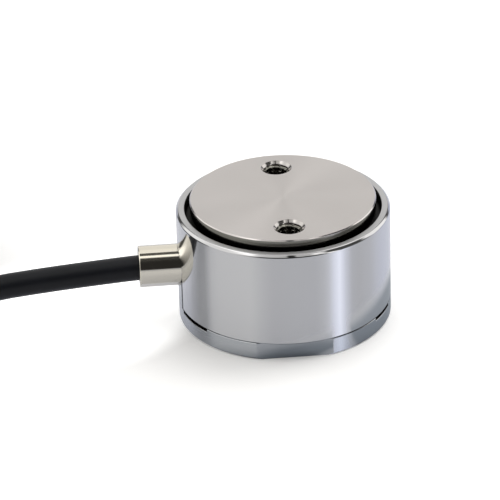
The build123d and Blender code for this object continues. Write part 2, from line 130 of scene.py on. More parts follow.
def meshFrom(name, parts, fills=(), material=None):
    # parts are (points in millimetres, quads); fills are flat faces between loops of points
    points, quads, start = [], [], 0
    for partPoints, partQuads in parts:
        points.append(np.asarray(partPoints, float).reshape(-1, 3))
        quads.append(partQuads + start)
        start += len(points[-1])
    mesh = bpy.data.meshes.new(name)
    mesh.from_pydata((np.concatenate(points) * mm).tolist(), [], np.concatenate(quads).tolist())
    work = bmesh.new()
    work.from_mesh(mesh)
    for loops in fills:
        edges = []
        for loop in loops:
            ring = [work.verts.new(point) for point in (np.asarray(loop) * mm).tolist()]
            edges += [work.edges.new(pair) for pair in zip(ring, ring[1:] + ring[:1])]
        bmesh.ops.triangle_fill(work, use_beauty=True, edges=edges)
    bmesh.ops.remove_doubles(work, verts=work.verts, dist=2e-7)
    bmesh.ops.dissolve_degenerate(work, dist=1e-8, edges=work.edges)
    bmesh.ops.recalc_face_normals(work, faces=work.faces)
    work.to_mesh(mesh)
    work.free()
    mesh.shade_smooth()
    mesh.set_sharp_from_angle(angle=radians(sharpAngle))
    piece = bpy.data.objects.new(name, mesh)
    bpy.context.scene.collection.objects.link(piece)
    if material:
        mesh.materials.append(material)
    return piece


def joinOrCut(piece, tool, operation):
    # leaves one closed mesh in the piece, and deletes the tool
    change = piece.modifiers.new("joinOrCut", "BOOLEAN")
    change.operation = operation
    change.solver = "EXACT"
    change.object = tool
    graph = bpy.context.evaluated_depsgraph_get()
    mesh = bpy.data.meshes.new_from_object(piece.evaluated_get(graph))
    piece.modifiers.clear()
    piece.data = mesh
    mesh.shade_smooth()
    mesh.set_sharp_from_angle(angle=radians(sharpAngle))
    bpy.data.objects.remove(tool)


def prism(name, loop, start, end):
    # loop of (y, z) carried along x, with flat ends
    loop = np.asarray(loop, float)
    rings = [np.column_stack([np.full(len(loop), x), loop]) for x in (start, end)]
    return meshFrom(name, [(np.stack(rings), gridFaces(2, len(loop), closedColumns=True))],
                    fills=[[rings[0]], [rings[1]]])


def roundedProfile(corners, closed=True, steps=5, support=0.012):
    # each corner (x, y, radius) becomes an arc tangent to its two edges, with a point just
    # before and after it that keeps the flats' shading flat
    line = []
    count = len(corners)
    for number, (x, y, radius) in enumerate(corners):
        here = np.array((x, y))
        if radius == 0 or (not closed and number in (0, count - 1)):
            line.append(here)
            continue
        before = np.array(corners[number - 1][:2]) - here
        after = np.array(corners[(number + 1) % count][:2]) - here
        before, after = before / np.linalg.norm(before), after / np.linalg.norm(after)
        half = 0.5 * np.arccos(np.clip(before @ after, -1, 1))
        reach = radius / tan(half)
        middle = (before + after) / np.linalg.norm(before + after)
        centre = here + middle * radius / sin(half)
        line.append(here + before * (reach + support))
        share = np.linspace(0, 1, steps + 1)[:, None]
        chord = here + before * reach * (1 - share) + after * reach * share
        spoke = chord - centre
        line += list(centre + spoke / np.linalg.norm(spoke, axis=1)[:, None] * radius)
        line.append(here + after * (reach + support))
    return np.array(line)


def ringAngles(count, extra=()):
    return np.unique(np.concatenate([np.arange(count) * 2 * pi / count, np.mod(extra, 2 * pi)]))


def spun(profile, angles, flat=None):
    # point = (r cos a, r sin a, z), and r is at most flat / |sin a| where flats are cut
    r = np.repeat(profile[:, :1], len(angles), axis=1)
    if flat is not None:
        limit = flat / np.maximum(np.abs(np.sin(angles)), 1e-9)
        r = np.minimum(r, limit[None, :])
    z = np.repeat(profile[:, 1:], len(angles), axis=1)
    return np.stack([r * np.cos(angles), r * np.sin(angles), z], axis=-1)


def tappedHole(centre, mouth, into, thread, count=96):
    # radius = larger of the mouth's cone and the thread, whose ridge rises and falls once a
    # pitch along depth + pitch * angle / turn; below it the drilled bore and its point
    angles = np.arange(count) * 2 * pi / count
    depth = np.linspace(0, thread["depth"], thread["rows"])[:, None]
    phase = np.mod(depth / thread["pitch"] + angles[None, :] / (2 * pi), 1)
    ridge = np.clip(1.5 - 6 * np.abs(phase - 0.5), 0, 1)
    fade = np.clip((thread["depth"] - depth) / (0.5 * thread["pitch"]), 0, 1)
    wall = thread["outer"] - (thread["outer"] - thread["inner"]) * (1 - (1 - ridge) * fade)
    r = np.maximum(wall, thread["outer"] + thread["mouth"] - depth)
    bottom = thread["depth"] + thread["runOut"]
    rest = np.array([[thread["inner"], bottom],
                     [nearAxis, bottom + thread["inner"] * thread["point"]]])
    r = np.concatenate([r, np.repeat(rest[:, :1], count, axis=1)])
    z = np.concatenate([np.repeat(depth, count, axis=1), np.repeat(rest[:, 1:], count, axis=1)])
    points = np.stack([centre[0] + r * np.cos(angles), centre[1] + r * np.sin(angles),
                       mouth + into * z], axis=-1)
    return points, gridFaces(len(r), count, closedColumns=True), points[0]


# Sizes in millimetres that several pieces share: the housing's, and the M3 threads'
housing = {
    "outer": 12.5,
    "bore": 11.5,
    "foot": 2.1,
    "footChamfer": 0.15,
    "rim": 13.7,
    "rimChamfer": 0.3,
    "rimRound": 0.25,
    "edge": 0.05,
    "columns": 720,
    "glandHeight": 6.8,
    "slot": 2.65,
    "slotFoot": 1.0,
    "slotReach": (-8.0, -14.0),
}
thread = {
    "outer": 1.5,
    "inner": 1.25,
    "mouth": 0.33,
    "pitch": 0.5,
    "depth": 3.0,
    "runOut": 0.3,
    "point": 0.6,
    "rows": 61,
}


# Finishes; heights and distances in them are in metres, and a recess, painted in a shade
# colour, is its nearest and farthest distance from the axis, its lowest and highest point, and
# its half width
finish = {
    "polished": {"colour": (0.63, 0.635, 0.65), "roughness": (0.05, 0.085), "ground": 0.42,
                 # painted shade: the inside of the sleeve, from above the foot to below the
                 # rim, is coloured dark
                 "groundAbove": 0.01369, "recess": (0.0, 0.01244, 0.0023, 0.01335, 0.02),
                 "paintedShade": (0.03, 0.03, 0.03)},
    # the side colour is painted shade, on the plate's side and in its bores
    "turned": {"colour": (0.675, 0.65, 0.642), "side": (0.24, 0.235, 0.21),
               "roughness": (0.24, 0.28), "smooth": 0.11, "face": (0.01476, 0.01479),
               "sideTop": 0.01467, "bores": 0.0075, "boreEdge": 0.00184, "blend": 5e-5,
               "drawn": 0.8, "mouth": 0.01442, "mouthTone": 0.75},
    "ground": {"colour": (0.50, 0.52, 0.545), "roughness": (0.10, 0.16),
               # painted shade: what lies 11.6 to 12.44 mm from the axis and 1.7 to 6 mm high,
               # the slits' floor and back wall among it, is coloured dark
               "recess": (0.0116, 0.01244, 0.0017, 0.006, 0.009),
               "paintedShade": (0.015, 0.015, 0.015)},
    "element": {"colour": (0.50, 0.50, 0.50), "roughness": (0.3, 0.42)},
    "nickel": {"colour": (0.83, 0.79, 0.69), "roughness": (0.06, 0.10)},
    "blackScrew": {"colour": (0.035, 0.035, 0.038), "roughness": (0.3, 0.45)},
    "steelScrew": {"colour": (0.55, 0.55, 0.56), "roughness": (0.2, 0.35)},
    "foil": {"colour": (0.72, 0.45, 0.20), "roughness": (0.3, 0.4)},
    "solder": {"colour": (0.62, 0.62, 0.62), "roughness": (0.25, 0.4)},
    "crimp": {"colour": (0.62, 0.60, 0.55), "roughness": (0.2, 0.3)},
    "tinned": {"colour": (0.66, 0.66, 0.65), "roughness": (0.22, 0.35)},
    "copper": {"colour": (0.55, 0.16, 0.05), "roughness": (0.2, 0.3)},
}


def wander(tree, place, scale, low, high):
    # a cloud texture's 0.2 to 0.8 spread between two values
    cloud = addNode(tree, "ShaderNodeTexNoise",
                    {"Vector": place, "Scale": scale, "Detail": 3.0})
    return step(tree, cloud.outputs[0], 0.2, 0.8, low, high)


def step(tree, value, start, end, low=0.0, high=1.0):
    # smooth step from low at the start to high at the end
    return addNode(tree, "ShaderNodeMapRange",
                   {"Value": value, "From Min": start, "From Max": end, "To Min": low,
                    "To Max": high}, interpolation_type="SMOOTHSTEP").outputs[0]


def fromAxis(tree, place):
    flat = addNode(tree, "ShaderNodeVectorMath", {0: place, 1: (1, 1, 0)}, operation="MULTIPLY")
    return addNode(tree, "ShaderNodeVectorMath", {0: flat.outputs[0]},
                   operation="LENGTH").outputs["Value"]


def tone(tree, shader, amount, first, second):
    # base colour: the first where the amount is 0, the second where it is 1
    mix = addNode(tree, "ShaderNodeMix", {0: amount}, data_type="RGBA")
    mix.inputs[6].default_value = (*first, 1)
    mix.inputs[7].default_value = (*second, 1)
    tree.links.new(mix.outputs[2], shader.inputs["Base Color"])


def metal(name, look, grainScale=1800.0, grain=0.02):
    # roughness wanders with a cloud texture, and a fine grain lifts the face; what lies
    # above a given height is ground, not polished, and what lies in the recess (between two
    # distances from the axis and two heights, and so far to either side) is painted dark as
    # shade
    material, tree, shader = newMaterial(name)
    place = addNode(tree, "ShaderNodeTexCoord").outputs["Object"]
    axes = addNode(tree, "ShaderNodeSeparateXYZ", {0: place})
    height = axes.outputs["Z"]
    roughness = wander(tree, place, 130.0, *look["roughness"])
    if "groundAbove" in look:
        face = step(tree, height, look["groundAbove"] - softEdge, look["groundAbove"], 0.0,
                    look["ground"])
        roughness = mathNode(tree, "ADD", roughness, face)
    tree.links.new(roughness, shader.inputs["Roughness"])
    shader.inputs["Metallic"].default_value = 1.0
    shader.inputs["Base Color"].default_value = (*look["colour"], 1)
    if "recess" in look:
        near, far, low, high, side = look["recess"]
        away = fromAxis(tree, place)
        across = mathNode(tree, "MULTIPLY", step(tree, away, near - softEdge, near),
                          step(tree, away, far, far - softEdge))
        upright = mathNode(tree, "MULTIPLY", step(tree, height, low - softEdge, low),
                           step(tree, height, high, high - softEdge))
        sideways = mathNode(tree, "ABSOLUTE", axes.outputs["Y"])
        across = mathNode(tree, "MULTIPLY", across, step(tree, sideways, side, side - softEdge))
        # painted shade: the recess takes the dark colour
        tone(tree, shader, mathNode(tree, "MULTIPLY", across, upright), look["colour"],
             look["paintedShade"])
    if grain:
        fine = addNode(tree, "ShaderNodeTexNoise", {"Vector": place, "Scale": grainScale})
        bump = addNode(tree, "ShaderNodeBump",
                       {"Height": fine.outputs[0], "Strength": grain, "Distance": 1e-5})
        tree.links.new(bump.outputs[0], shader.inputs["Normal"])
    return material


def turnedMetal(name, look, pitch=0.00009, depth=0.05):
    # rings of tool marks about the axis: height = noise of the distance from it, and the
    # reflection is drawn out across the marks; the side and the bores are smoother, and are
    # painted darker as shade, the bores' mouths less so
    material, tree, shader = newMaterial(name)
    place = addNode(tree, "ShaderNodeTexCoord").outputs["Object"]
    axes = addNode(tree, "ShaderNodeSeparateXYZ", {0: place})
    rings = addNode(tree, "ShaderNodeTexNoise",
                    {"W": mathNode(tree, "DIVIDE", fromAxis(tree, place), pitch),
                     "Scale": 1.0, "Detail": 2.0}, noise_dimensions="1D")
    across = mathNode(tree, "SUBTRACT", mathNode(tree, "ABSOLUTE", axes.outputs["Y"]),
                      look["bores"])
    fromBore = mathNode(tree, "SQRT", mathNode(
        tree, "ADD", mathNode(tree, "POWER", across, 2.0),
        mathNode(tree, "POWER", axes.outputs["X"], 2.0)))
    height, blend = axes.outputs["Z"], look["blend"]
    offBore = step(tree, fromBore, look["boreEdge"] - blend, look["boreEdge"])
    onFace = mathNode(tree, "MULTIPLY", offBore, step(tree, height, *look["face"]))
    # painted shade: this share keeps the steel's own colour on the face, and partly at the
    # bores' mouths; the rest takes the darker side colour
    unshadedShare = mathNode(tree, "MULTIPLY", offBore,
                     step(tree, height, look["sideTop"] - softEdge, look["sideTop"]))
    mouth = mathNode(tree, "MULTIPLY", mathNode(tree, "SUBTRACT", 1.0, offBore),
                     step(tree, height, look["mouth"] - blend, look["mouth"], 0.0,
                          look["mouthTone"]))
    unshadedShare = mathNode(tree, "MAXIMUM", unshadedShare, mouth)
    roughness = mathNode(tree, "MULTIPLY_ADD", onFace,
                         wander(tree, place, 160.0, *look["roughness"]), look["smooth"])
    tree.links.new(roughness, shader.inputs["Roughness"])
    bump = addNode(tree, "ShaderNodeBump",
                   {"Height": rings.outputs[0], "Strength": depth, "Distance": 2e-6})
    tree.links.new(bump.outputs[0], shader.inputs["Normal"])
    around = addNode(tree, "ShaderNodeTangent", direction_type="RADIAL", axis="Z")
    tree.links.new(around.outputs[0], shader.inputs["Tangent"])
    shader.inputs["Metallic"].default_value = 1.0
    shader.inputs["Anisotropic"].default_value = look["drawn"]
    shader.inputs["Anisotropic Rotation"].default_value = 0.25
    # the side colour is painted shade
    tone(tree, shader, unshadedShare, look["side"], look["colour"])
    return material


def plastic(name, colour, roughness, grain=0.15, scale=2500.0, specular=0.5):
    # the colour varies a little with a cloud texture, over a fine grain
    material, tree, shader = newMaterial(name)
    place = addNode(tree, "ShaderNodeTexCoord").outputs["Object"]
    shade = addNode(tree, "ShaderNodeTexNoise",
                    {"Vector": place, "Scale": 300.0, "Detail": 3.0})
    darker = tuple(0.82 * value for value in colour)
    tint = rampNode(tree, shade.outputs[0], [(0.3, darker), (0.7, colour)])
    tree.links.new(tint, shader.inputs["Base Color"])
    fine = addNode(tree, "ShaderNodeTexNoise", {"Vector": place, "Scale": scale, "Detail": 2.0})
    bump = addNode(tree, "ShaderNodeBump",
                   {"Height": fine.outputs[0], "Strength": grain, "Distance": 2e-5})
    tree.links.new(bump.outputs[0], shader.inputs["Normal"])
    shader.inputs["Roughness"].default_value = roughness
    shader.inputs["Specular IOR Level"].default_value = specular
    return material


materials = {
    "polished_steel": metal("polishedSteel", finish["polished"], grain=0.0),
    "turned_steel": turnedMetal("turnedSteel", finish["turned"]),
    "ground_steel": metal("groundSteel", finish["ground"], grain=0.0),
    "element_steel": metal("elementSteel", finish["element"]),
    "black_screw": metal("blackScrew", finish["blackScrew"]),
    "steel_screw": metal("steelScrew", finish["steelScrew"]),
    "nickel": metal("nickelTube", finish["nickel"], grain=0.0),
    "gauge_foil": metal("gaugeFoil", finish["foil"]),
    "board": plastic("terminalBoard", (0.03, 0.14, 0.06), 0.4, scale=4000.0),
    "resistor": plastic("chipResistor", (0.03, 0.03, 0.035), 0.35),
    "solder": metal("solder", finish["solder"]),
    "enamel_wire": metal("enamelWire", finish["copper"]),
    "insulation_red": plastic("redInsulation", (0.55, 0.02, 0.02), 0.38),
    "insulation_black": plastic("blackInsulation", (0.015, 0.015, 0.017), 0.38),
    "insulation_green": plastic("greenInsulation", (0.02, 0.25, 0.06), 0.38),
    "insulation_white": plastic("whiteInsulation", (0.75, 0.75, 0.72), 0.38),
    "crimp": metal("crimpFerrule", finish["crimp"]),
    "seal_rubber": plastic("sealRubber", (0.010, 0.010, 0.010), 0.65),
    "cable_jacket": plastic("cableJacket", (0.006, 0.007, 0.010), 0.42, grain=0.25,
                            scale=1500.0, specular=0.28),
    "shrink_sleeve": plastic("shrinkSleeve", (0.018, 0.018, 0.019), 0.5),
    "tinned": metal("tinnedWire", finish["tinned"]),
}
for node in nodes.values():
    for place in node.material_slots:
        slotName = place.material.name.split(".")[0] if place.material else None
        if slotName in materials:
            place.material = materials[slotName]
print("materials made")


def settle(piece, slotName, *replaced):
    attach(piece, "root")
    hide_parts(*replaced)


# Cable: straight out of the gland, drooping, then wound from the outer turn inwards and
# back, four layers high, with its bare end on top
cable = {
    "diameter": 3.0,
    "exit": (-17.1, 0.0, 6.8),
    "straight": [(-6.8, 0, 6.8), (-15.6, 0, 6.78), (-21.0, 0, 6.42), (-28.5, 0, 5.80),
                 (-36.0, -0.3, 5.12)],
    "coilCentre": (-58.5, 12.0),
    "approach": [(9.0, 3.0), (3.6, 1.5)],  # how far before the coil, and how high
    "outerTurn": 21.0,
    "innerTurn": 15.0,
    "layers": 4,
    "layerTurns": 3,
    "pointsPerTurn": 18,
    "lastTurn": 12.4,
    "bulge": 1.25,
    "tailDrift": 6.0,
    "tailStraight": 10.0,
    "tailRise": 0.8,
    "length": 1.5,
}
woundTurns = cable["layers"] * cable["layerTurns"]
coilX, coilY = cable["coilCentre"]
bendX, bendY = cable["straight"][-1][:2]
toCentre = hypot(coilX - bendX, coilY - bendY)
heading = atan2(coilY - bendY, coilX - bendX) + asin(cable["outerTurn"] / toCentre)
toCoil = sqrt(toCentre**2 - cable["outerTurn"] ** 2)
startAngle = heading + pi / 2


def onCoil(turn, radius, height):
    angle = startAngle - 2 * pi * np.asarray(turn, float)
    return np.stack([coilX + radius * np.cos(angle), coilY + radius * np.sin(angle),
                     height + 0 * angle], axis=-1)


def coilLaw(turn):
    # all but the last turn of a layer run from the outer radius to the inner one, or back;
    # the last climbs to the next layer, swelling past the layer's edge by a half sine
    inner, outer, d = cable["innerTurn"], cable["outerTurn"], cable["diameter"]
    layerTurns = cable["layerTurns"]
    flatTurns = layerTurns - 1
    layer = np.floor(np.clip(turn, 0, woundTurns - 0.001) / layerTurns)
    within = np.clip(turn, 0, woundTurns) - layerTurns * layer
    inward = layer % 2 == 0
    wound = np.clip(within / flatTurns, 0, 1)
    radius = np.where(inward, outer + (inner - outer) * wound, inner + (outer - inner) * wound)
    climb = np.clip(within - flatTurns, 0, 1)
    swell = cable["bulge"] * np.sin(pi * climb)
    radius = radius + np.where(inward, -swell, swell)
    height = d / 2 + d * (layer + climb)
    onTail = turn > woundTurns
    radius = np.where(onTail, outer - cable["tailDrift"] * (turn - woundTurns), radius)
    height = np.where(onTail, (cable["layers"] + 0.5) * d, height)
    return radius, height


def cableLine():
    # straight part, two points towards the coil, the coil's own control points, the tail
    spacing = 1 / cable["pointsPerTurn"]
    turns = np.arange(0.5 * spacing, cable["lastTurn"], spacing)
    radius, height = coilLaw(turns)
    coil = onCoil(turns, radius / cos(pi * spacing), height)
    lead = cable["straight"] + [
        (bendX + (toCoil - back) * cos(heading), bendY + (toCoil - back) * sin(heading), up)
        for back, up in cable["approach"]]
    lastR = cable["outerTurn"] - cable["tailDrift"] * (cable["lastTurn"] - woundTurns)
    endTurn = cable["lastTurn"] + cable["tailStraight"] / (2 * pi * lastR)
    top = (cable["layers"] + 0.5) * cable["diameter"]
    tail = [onCoil(cable["lastTurn"], lastR, top),
            onCoil(endTurn, lastR, top + cable["tailRise"])]
    return np.concatenate([np.array(lead, float), coil, np.array(tail)])


def smoothCurve(name, points, diameter, material, resolution=5, bevel=5):
    curve = bpy.data.curves.new(name, "CURVE")
    curve.dimensions = "3D"
    curve.bevel_depth = diameter * mm / 2
    curve.bevel_resolution = bevel
    curve.use_fill_caps = True
    curve.resolution_u = resolution
    spline = curve.splines.new("NURBS")
    spline.points.add(len(points) - 1)
    flat = np.ones((len(points), 4))
    flat[:, :3] = np.asarray(points) * mm
    spline.points.foreach_set("co", flat.ravel())
    spline.order_u = 3
    spline.use_endpoint_u = True
    curve.materials.append(material)
    piece = bpy.data.objects.new(name, curve)
    bpy.context.scene.collection.objects.link(piece)
    return piece


cablePiece = smoothCurve("jacketedCable", cableLine(), cable["diameter"],
                         materials["cable_jacket"])
settle(cablePiece, "cable_jacket", "cable", "cable_coil")
print("cable wound")

# The cable's bare end: a shrink sleeve that hugs the leads, the leads fanned out on the
# coil, and their stripped tips
bareEnd = {
    "end": (-67.044, 28.521, 14.3),
    "out": (0.73195, 0.67656, 0.08071),
    "from": -4.0,
    "to": 4.0,
    "onJacket": 1.8,
    "hug": 1.22,
    "hugFrom": 0.1,
    "hugOver": 1.8,
    "lobe": 0.16,
    "wall": 0.14,
    "inside": 1.0,
    "leadDiameter": 0.7,
    "drainDiameter": 0.4,
    "tipDiameter": 0.4,
    "tipLength": 3.0,
    "tipBevel": 0.08,
    "tipColumns": 24,
}
leads = {
    "leadRed": ("insulation_red", "lead_red",
                [(-66.77, 28.17, 14.75), (-63.43, 31.24, 15.12), (-54.46, 26.2, 13.9),
                 (-50.1, 22.95, 12.45), (-46.65, 19.08, 12.45)]),
    "leadBlack": ("insulation_black", "lead_black",
                  [(-66.71, 28.22, 13.85), (-63.38, 31.29, 14.22), (-54.23, 27.0, 13.0),
                   (-49.46, 23.78, 12.45), (-45.75, 19.62, 12.45)]),
    "leadGreen": ("insulation_green", "lead_green",
                  [(-67.32, 28.88, 13.85), (-63.33, 32.56, 14.29), (-53.77, 28.62, 13.0),
                   (-48.18, 25.44, 12.45), (-43.95, 20.69, 12.45)]),
    "leadWhite": ("insulation_white", "lead_white",
                  [(-67.38, 28.83, 14.75), (-63.39, 32.51, 15.19), (-53.54, 29.43, 13.9),
                   (-47.54, 26.28, 12.45), (-43.05, 21.23, 12.45)]),
    "drainWire": ("tinned", "drain_wire",
                  [(-67.04, 28.52, 14.3), (-63.38, 31.9, 14.7), (-54.0, 27.81, 13.3),
                   (-48.82, 24.61, 12.3), (-44.85, 20.16, 12.3)]),
}


def shrinkSleeve(look, rows=40, columns=96):
    # radius = the jacket's, easing by a smooth step to the leads' bundle, where four lobes
    # cos(4 a) show the leads inside; the same less the wall is the inside
    out = np.array(look["out"])
    side = np.cross((0, 0, 1), out)
    side /= np.linalg.norm(side)
    up = np.cross(out, side)
    along = np.linspace(look["from"], look["to"], rows)[:, None]
    turn = (np.arange(columns) * 2 * pi / columns)[None, :]
    share = np.clip((along - look["hugFrom"]) / look["hugOver"], 0, 1)
    share = share * share * (3 - 2 * share)
    radius = look["onJacket"] + (look["hug"] - look["onJacket"]) * share
    radius = radius - look["lobe"] * share * np.cos(4 * turn)
    shells = []
    for r in (radius, np.maximum(radius - look["wall"], look["inside"])):
        shells.append(np.array(look["end"]) + along[..., None] * out
                      + (r * np.cos(turn))[..., None] * side
                      + (r * np.sin(turn))[..., None] * up)
    points = np.concatenate([shells[0], shells[1][::-1]])
    return [(points, gridFaces(len(points), columns, True, True))]


def strippedTips(look):
    # one short straight tube for each insulated lead, on from its last point
    tips = []
    turn = ringAngles(look["tipColumns"])
    r, length = look["tipDiameter"] / 2, look["tipLength"]
    reach = np.array([0, 0.02, length - look["tipBevel"], length])
    radius = np.array([r, r, r, 0.6 * r])
    for _, nodeName, route in leads.values():
        if nodeName == "drain_wire":
            continue
        end, before = np.array(route[-1]), np.array(route[-2])
        out = (end - before) / np.linalg.norm(end - before)
        side = np.cross((0, 0, 1), out)
        up = np.cross(out, side)
        tube = (end + reach[:, None, None] * out
                + (radius[:, None] * np.cos(turn))[..., None] * side
                + (radius[:, None] * np.sin(turn))[..., None] * up)
        tips.append(tube)
    quads = gridFaces(len(reach), len(turn), closedColumns=True)
    parts = [(tube, quads) for tube in tips]
    return parts, [[tube[row]] for tube in tips for row in (0, -1)]


sleevePiece = meshFrom("shrinkSleeve", shrinkSleeve(bareEnd),
                       material=materials["shrink_sleeve"])
settle(sleevePiece, "shrink_sleeve", "end_sleeve")
for name, (slotName, nodeName, route) in leads.items():
    diameter = bareEnd["drainDiameter" if nodeName == "drain_wire" else "leadDiameter"]
    piece = smoothCurve(name, route, diameter, materials[slotName], resolution=12, bevel=4)
    settle(piece, slotName, nodeName)
tipParts, tipEnds = strippedTips(bareEnd)
tipPiece = meshFrom("strippedTips", tipParts, fills=tipEnds, material=materials["tinned"])
settle(tipPiece, "tinned", "lead_tips")
print("bare end dressed")


# Housing sleeve: a chamfered tube, slotted from below for the gland
def sleeveTube(look):
    outer, bore, foot, rim, e = (look[key] for key in ("outer", "bore", "foot", "rim", "edge"))
    c, f, soft = look["rimChamfer"], look["footChamfer"], look["rimRound"]
    profile = roundedProfile([
        (bore, foot, e), (outer - f, foot, e), (outer, foot + f, e), (outer, rim - c, soft),
        (outer - c, rim, soft), (bore, rim, e)])
    return [(spun(profile, ringAngles(look["columns"])),
             gridFaces(len(profile), look["columns"], True, True))]


def slotLoop(look, steps=96):
    # half a circle over the gland's line, then straight down past the foot
    turn = np.linspace(0, pi, steps + 1)
    arc = np.column_stack([look["slot"] * np.cos(turn),
                           look["glandHeight"] + look["slot"] * np.sin(turn)])
    return np.concatenate([arc, [(-look["slot"], look["slotFoot"]),
                                 (look["slot"], look["slotFoot"])]])


shellPiece = meshFrom("polishedSleeve", sleeveTube(housing),
                      material=materials["polished_steel"])
joinOrCut(shellPiece, prism("slotTool", slotLoop(housing), *housing["slotReach"]), "DIFFERENCE")
settle(shellPiece, "polished_steel", "housing_shell")
print("sleeve turned")


# Load plate: turned body with a seal's groove, a boss for its screw, and two tapped holes
loadPlate = {
    "radius": 10.85,
    "top": 14.8,
    "under": 10.4,
    "chamfer": 0.12,
    "edge": 0.03,
    "grooveRadius": 10.25,
    "grooveTop": 12.6,
    "grooveUnder": 11.7,
    "grooveEdge": 0.04,
    "bossRadius": 4.0,
    "bossUnder": 9.6,
    "bossEdge": 0.05,
    "screwHole": 0.87,
    "screwEdge": 0.03,
    "screwTop": 13.05,
    "columns": 480,
    "holes": [(0, 7.5), (0, -7.5)],
}


def turnedPlate(look):
    r, top, under, c, e = (look[key] for key in ("radius", "top", "under", "chamfer", "edge"))
    groove, high, low = look["grooveRadius"], look["grooveTop"], look["grooveUnder"]
    boss, bossUnder, screw = look["bossRadius"], look["bossUnder"], look["screwHole"]
    profile = roundedProfile([
        (r - 2 * c, top, 0), (r - c, top, e), (r, top - c, e), (r, high, look["grooveEdge"]),
        (groove, high, 0), (groove, low, 0), (r, low, look["grooveEdge"]), (r, under + c, e),
        (r - c, under, e), (boss, under, 0), (boss, bossUnder, look["bossEdge"]),
        (screw, bossUnder, look["screwEdge"]), (screw, look["screwTop"], 0),
        (nearAxis, look["screwTop"], 0)], closed=False)
    angles = ringAngles(look["columns"])
    body = spun(profile, angles)
    parts, flat = [(body, gridFaces(len(profile), len(angles), closedColumns=True))], [body[0]]
    for centre in look["holes"]:
        points, quads, mouth = tappedHole(centre, top, -1, thread)
        parts.append((points, quads))
        flat.append(mouth)
    return parts, [flat]


plateParts, plateFlats = turnedPlate(loadPlate)
platePiece = meshFrom("turnedLoadPlate", plateParts, fills=plateFlats,
                      material=materials["turned_steel"])
settle(platePiece, "turned_steel", "load_plate")
print("load plate turned")


# Base plate: flange with two flats and four slits under the sleeve's foot, grooved spigot,
# holes from below, and the key that fills the sleeve's slot under the gland
basePlate = {
    "radius": 12.5,
    "flat": 11.7,
    "chamfer": 0.2,
    "flange": 2.1,
    "footEdge": 0.03,
    "topChamfer": 0.04,
    "topEdge": 0.015,
    "slit": 0.35,
    "slitEdge": 0.07,
    "neck": 12.1,
    "neckEdge": 0.02,
    "slitSpans": [(-38, -20), (-167, -142), (20, 38), (142, 167)],
    "spigot": 11.45,
    "deck": 4.2,
    "grooveRadius": 10.845,
    "grooveLow": 2.75,
    "grooveHigh": 3.55,
    "grooveEdge": 0.03,
    "deckMargin": 0.5,
    "edge": 0.04,
    "cornerGap": 0.004,  # radians between the columns at a flat's end
    "slitGap": 1e-4,  # and on either side of a slit's end
    "columns": 480,
    "tapped": [(0, 7.5), (0, -7.5)],
    "screwCircle": 9.5,
    "screwHole": 1.15,
    "screwMouth": 2.0,
    "screwSlope": 0.87,
    "screwColumns": 64,
    "screws": 4,
    "keyInset": 0.001,
    "keyHalf": 2.107,
    "keySaddle": 2.5,
    "keyFoot": 1.9,
}


def flangeSkin(look):
    # two profiles with as many points: the plain one, and the slit one for the columns
    # whose angle lies in a slit's span
    r, c, e, top = look["radius"], look["chamfer"], look["edge"], look["flange"]
    neck, spigot, deck = look["neck"], look["spigot"], look["deck"]
    groove, low, high = look["grooveRadius"], look["grooveLow"], look["grooveHigh"]
    foot, rounding = look["footEdge"], look["grooveEdge"]
    head = [(r - 2 * c, 0, 0), (r - c, 0, foot), (r, c, foot)]
    tail = [(neck, top, 0), (spigot, top, 0), (spigot, low, rounding), (groove, low, 0),
            (groove, high, 0), (spigot, high, rounding), (spigot, deck, e),
            (spigot - look["deckMargin"], deck, 0)]
    bevel, slitFloor = look["topChamfer"], top - look["slit"]
    plain, slit = (
        roundedProfile(head + middle + tail, closed=False)
        for middle in ([(r, top - bevel, look["topEdge"]), (r - bevel, top, look["topEdge"])],
                       [(r, slitFloor, look["slitEdge"]), (neck, slitFloor, look["neckEdge"])]))
    corner, gap = asin(look["flat"] / r), look["cornerGap"]
    lip = np.array([-gap, 0, gap])
    extra = [side + lip for side in (corner, pi - corner, pi + corner, -corner)]
    spans = np.radians(look["slitSpans"])
    ends = np.array([-look["slitGap"], look["slitGap"]])
    extra += [end + ends for end in spans.ravel()]
    angles = ringAngles(look["columns"], np.concatenate(extra))
    skins = [spun(profile, angles, flat=look["flat"]) for profile in (plain, slit)]
    signed = np.where(angles > pi, angles - 2 * pi, angles)
    inSlit = np.any([(signed > start) & (signed < end) for start, end in spans], axis=0)
    return np.where(inSlit[None, :, None], skins[1], skins[0])


def groundBase(look):
    skin = flangeSkin(look)
    parts = [(skin, gridFaces(skin.shape[0], skin.shape[1], closedColumns=True))]
    below, above = [skin[0]], [skin[-1]]
    for centre in look["tapped"]:
        points, quads, mouth = tappedHole(centre, 0, 1, thread)
        parts.append((points, quads))
        below.append(mouth)
    slope = (look["screwMouth"] - look["screwHole"]) / look["screwSlope"]
    bore = np.array([(look["screwMouth"], 0), (look["screwHole"], slope),
                     (look["screwHole"], look["deck"])])
    turn = ringAngles(look["screwColumns"])
    for number in range(look["screws"]):
        angle = pi / 4 + number * pi / 2
        hole = spun(bore, turn) + (look["screwCircle"] * cos(angle),
                                   look["screwCircle"] * sin(angle), 0)
        parts.append((hole, gridFaces(len(bore), len(turn), closedColumns=True)))
        below.append(hole[0])
        above.append(hole[-1])
    return parts, [below, above]


